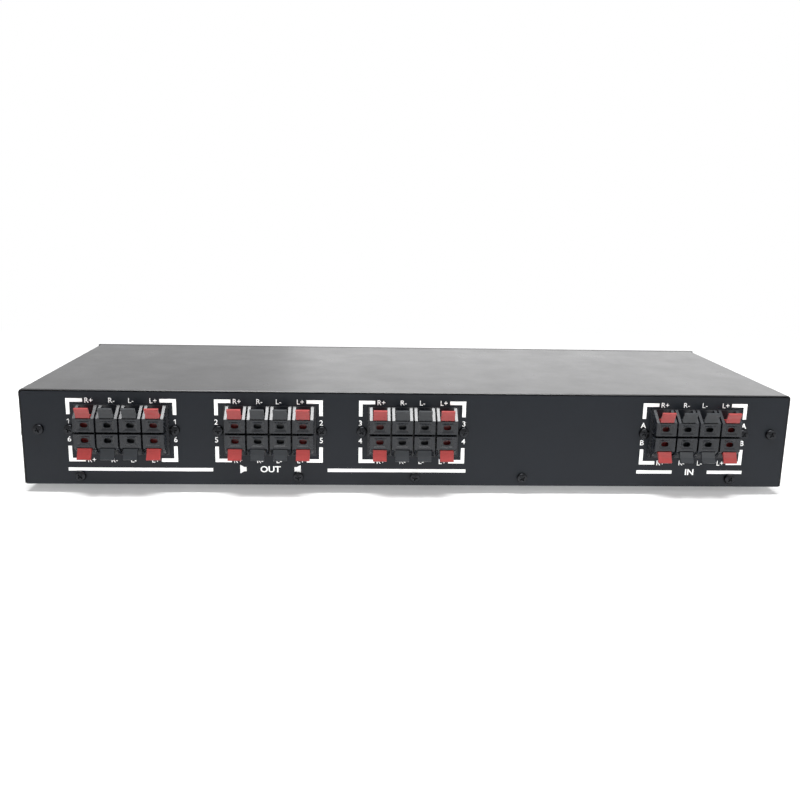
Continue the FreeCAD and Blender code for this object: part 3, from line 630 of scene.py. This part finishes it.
def screw_skin():
    """Rings from the middle of the head outwards, over the rim and down the shank.

    The dome is a shallow arc: height = tall - drop * (r / R)^2, and the rim is a quarter round.
    The cross is two crossed slots that get narrower and shallower towards their ends, at r:
    half width = half * (widest - narrows * r / reach), depth = deep * (1 - shallows * r / reach).
    It is taken off every ring, so the hidden end of the shank has a trace of it too.
    """
    flat_radius = HEAD_RADIUS - RIM_ROUND
    inner = np.linspace(FIRST_RING, 1.0, HEAD_RINGS) * flat_radius
    bend = np.linspace(0, math.pi / 2, RIM_STEPS)[1:]
    dome = HEAD_TALL - DOME_DROP * (inner / HEAD_RADIUS) ** 2
    tail_r = np.array([HEAD_RADIUS, SHANK_RADIUS, SHANK_RADIUS, SHANK_RADIUS * POINT_SHARE])
    tail_h = np.array([0.0, 0.0, -(SHANK_LONG - POINT_LONG), -SHANK_LONG])
    radius = np.concatenate([inner, flat_radius + RIM_ROUND * np.sin(bend), tail_r])[:, None]
    height = np.concatenate([dome, dome[-1] - RIM_DROP * (1 - np.cos(bend)), tail_h])[:, None]
    angle = np.linspace(0, 2 * math.pi, SCREW_AROUND, endpoint=False)[None, :]
    x, y = radius * np.cos(angle), radius * np.sin(angle)
    across = np.minimum(np.abs(x), np.abs(y))
    along = np.maximum(np.abs(x), np.abs(y))
    half = CROSS_HALF * (CROSS_WIDEST - CROSS_NARROWS * along / CROSS_REACH)
    wall = np.clip((half - across) / CROSS_WALL, 0, 1)
    end = np.clip((CROSS_REACH - along) / CROSS_END, 0, 1)
    drop = CROSS_DEEP * (1 - CROSS_SHALLOWS * along / CROSS_REACH) * wall * end
    points = np.stack([x, y, height - drop], axis=-1).reshape(-1, 3)
    ends = [[0, 0, HEAD_TALL - CROSS_DEEP], [0, 0, -SHANK_LONG]]
    return np.vstack([points, ends]) * MM, skin_faces(len(radius), SCREW_AROUND)


print("a screw skin has", len(screw_skin()[0]), "points")

# %% [markdown]
# Nobody lines up the crosses of screws, so the heads take seven different angles in turn. Eight
# screws hold the clamps, seven the rear panel and four the sides of the cover.

# %% Screws
TURNS = (0.35, 1.1, 0.8, 0.1, 1.4, 0.6, 0.95)
BLOCK_MIDDLES = (-160.0, -78.9, 0.6, 160.6)
LOW_SCREWS, LOW_RISE = (-184, -63.5, 2.3, 63.5, 184), 4.8
BLOCK_RISE, BLOCK_SCREW, END_SCREW = 31.4, 28.6, 205.3
SIDE_INSET, SIDE_RISE = 6.5, 28.0
REAR_WAY = (0, -1, 0)


def screws(name, node, places, turns):
    """One piece for a group of screws: each head faces its own way, turned by the next angle."""
    skin, faces = screw_skin()
    skins = []
    for number, (spot, way) in enumerate(places):
        x, z = np.array((0, 0, 1.0)), np.array(way, float)
        y = np.cross(z, x)
        turn = turns[number % len(turns)]
        x, y = math.cos(turn) * x + math.sin(turn) * y, math.cos(turn) * y - math.sin(turn) * x
        skins.append(skin @ np.stack([x, y, z]) + np.array(spot))
    stand_in(name, node, skins, faces)


def on_rear(across, rise):
    """A place on the rear panel's face, and the way its head looks."""
    return (across * MM, face_y, case_z + rise * MM), REAR_WAY


clamps = [on_rear(middle + side * BLOCK_SCREW, BLOCK_RISE)
          for middle in BLOCK_MIDDLES for side in (1, -1)]
panel = [on_rear(across, LOW_RISE) for across in LOW_SCREWS]
panel += [on_rear(side * END_SCREW, BLOCK_RISE) for side in (-1, 1)]
sides = [((x, y, case_z + SIDE_RISE * MM), way)
         for y in (cover_low.y + SIDE_INSET * MM, cover_high.y - SIDE_INSET * MM)
         for x, way in ((cover_high.x, (1, 0, 0)), (cover_low.x, (-1, 0, 0)))]
screws("clamp_screws", "terminal_screws", clamps, TURNS)
screws("panel_screws", "rear_panel_screws", panel, TURNS[2:] + TURNS[:2])
screws("side_screws", "cover_screws", sides, TURNS)

# %% [markdown]
# The feet are moulded rubber, stuck on: a shallow cup with a rounded foot ring and a dished
# underside. A profile of radius and height is swept round each foot's own axis.

# %% Feet
FOOT_ACROSS, FOOT_INSET, FOOT_AROUND = 175, 26, 64
FOOT_SPOTS = [(x * MM, y) for x in (-FOOT_ACROSS, FOOT_ACROSS)
              for y in (face_y + FOOT_INSET * MM, front_y - FOOT_INSET * MM)]
FOOT_PROFILE = np.array([
    (0.0, 1.6), (3.2, 1.6), (4.0, 1.4), (4.6, 0.5), (5.0, 0.12), (5.5, 0.0), (7.2, 0.0),
    (7.7, 0.12), (8.0, 0.5), (8.6, 3.9), (8.95, 4.7), (9.0, 5.0), (4.0, 5.0), (0.0, 5.0)])


def foot_skin():
    """A surface of revolution: each profile point turned round the foot's axis."""
    angle = np.linspace(0, 2 * math.pi, FOOT_AROUND, endpoint=False)
    rings = FOOT_PROFILE[1:-1]
    x, y = rings[:, :1] * np.cos(angle), rings[:, :1] * np.sin(angle)
    z = np.repeat(rings[:, 1:], FOOT_AROUND, axis=1)
    ends = [[0, 0, FOOT_PROFILE[0, 1]], [0, 0, FOOT_PROFILE[-1, 1]]]
    skin = np.vstack([np.stack([x, y, z], axis=-1).reshape(-1, 3), ends]) * MM
    return skin, skin_faces(len(rings), FOOT_AROUND, flip=True)


skin, faces = foot_skin()
feet = [skin + np.array((x, y, 0.0)) for x, y in FOOT_SPOTS]
stand_in("moulded_feet", "rubber_feet", feet, faces)
